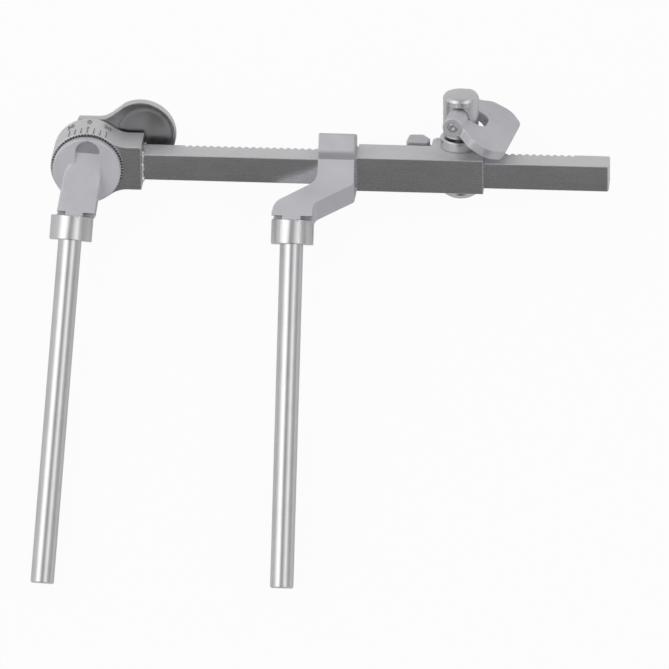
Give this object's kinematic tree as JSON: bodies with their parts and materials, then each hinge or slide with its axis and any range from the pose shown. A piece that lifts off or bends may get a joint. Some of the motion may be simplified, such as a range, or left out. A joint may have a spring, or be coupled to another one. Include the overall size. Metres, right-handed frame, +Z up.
{
  "type": "hinged distractor",
  "caption": "Steel surgical distractor: square rack bar, toothed hinge with a clamped arm, sliding carriage with goose-necked arm, pinion wing key and sprung pawl.",
  "frame": {"origin": "centre of the bounding box on the table plane", "axes": "+X along the bar away from the hinge, +Y from the tubes towards the bar, +Z up from the table that the instrument lies on"},
  "size_m": [0.1694, 0.1522, 0.03],
  "materials": {
    "satin": "fine bead-blasted satin stainless steel",
    "ground": "ground stainless steel with a faint lengthwise grain",
    "bright": "smooth turned stainless steel",
    "braze": "bright silver braze with a lumpy surface"
  },
  "bodies": {
    "bar": {"rack_bar": "ground", "hinge_block": "ground", "braze_bead": "braze", "tooth_ring": "satin", "hub_bush": "bright", "hinge_spring": "bright"},
    "arm": {"hinge_arm": "satin", "hinge_stud": "satin", "left_tube": "bright", "lever_washer": "bright", "lever_screw": "bright"},
    "lever": {"clamp_lever": "satin"},
    "carriage": {"carriage": "ground", "carriage_arm": "satin", "right_tube": "bright", "boss_ring": "bright", "lower_bush": "bright", "pawl_pin": "bright"},
    "pinion": {"pinion_shaft": "ground", "bottom_cap": "satin", "key_head": "satin", "wing_pin": "bright"},
    "wing": {"wing_key": "satin"},
    "pawl": {"pawl": "satin", "pawl_spring": "bright"}
  },
  "joints": [
    {"name": "arm_hinge", "type": "hinge", "parent": "bar", "child": "arm", "pos_m": [-0.0713, 0.04943, 0.01436], "axis": [0.0196, 0.4993, -0.8662], "range_deg": [-16, 26]},
    {"name": "lever_turn", "type": "hinge", "parent": "arm", "child": "lever", "pos_m": [-0.0713, 0.04943, 0.01436], "axis": [0.0196, 0.4993, -0.8662], "range_deg": [-75, 0]},
    {"name": "carriage_slide", "type": "slide", "parent": "bar", "child": "carriage", "axis": [0.9997, 0, 0.0227], "range_m": [-0.03, 0.027]},
    {"name": "pinion_turn", "type": "hinge", "parent": "carriage", "child": "pinion", "pos_m": [0.03989, 0.05389, 0.00915], "axis": [-0.0113, 0.8664, 0.4991], "range_deg": [-580, 645]},
    {"name": "wing_fold", "type": "hinge", "parent": "pinion", "child": "wing", "pos_m": [0.03971, 0.06766, 0.01708], "axis": [-0.1586, -0.4944, 0.8546], "range_deg": [0, 54]},
    {"name": "pawl_lift", "type": "hinge", "parent": "carriage", "child": "pawl", "pos_m": [0.0337, 0.05542, 0.00634], "axis": [0.0113, -0.8664, -0.4991], "range_deg": [0, 10], "stiffness_Nm_per_rad": 0.02, "springref_deg": -17.19}
  ],
  "couplings": [
    {"joint": "pinion_turn", "follows": "carriage_slide", "rad_per_m": -374}
  ]
}
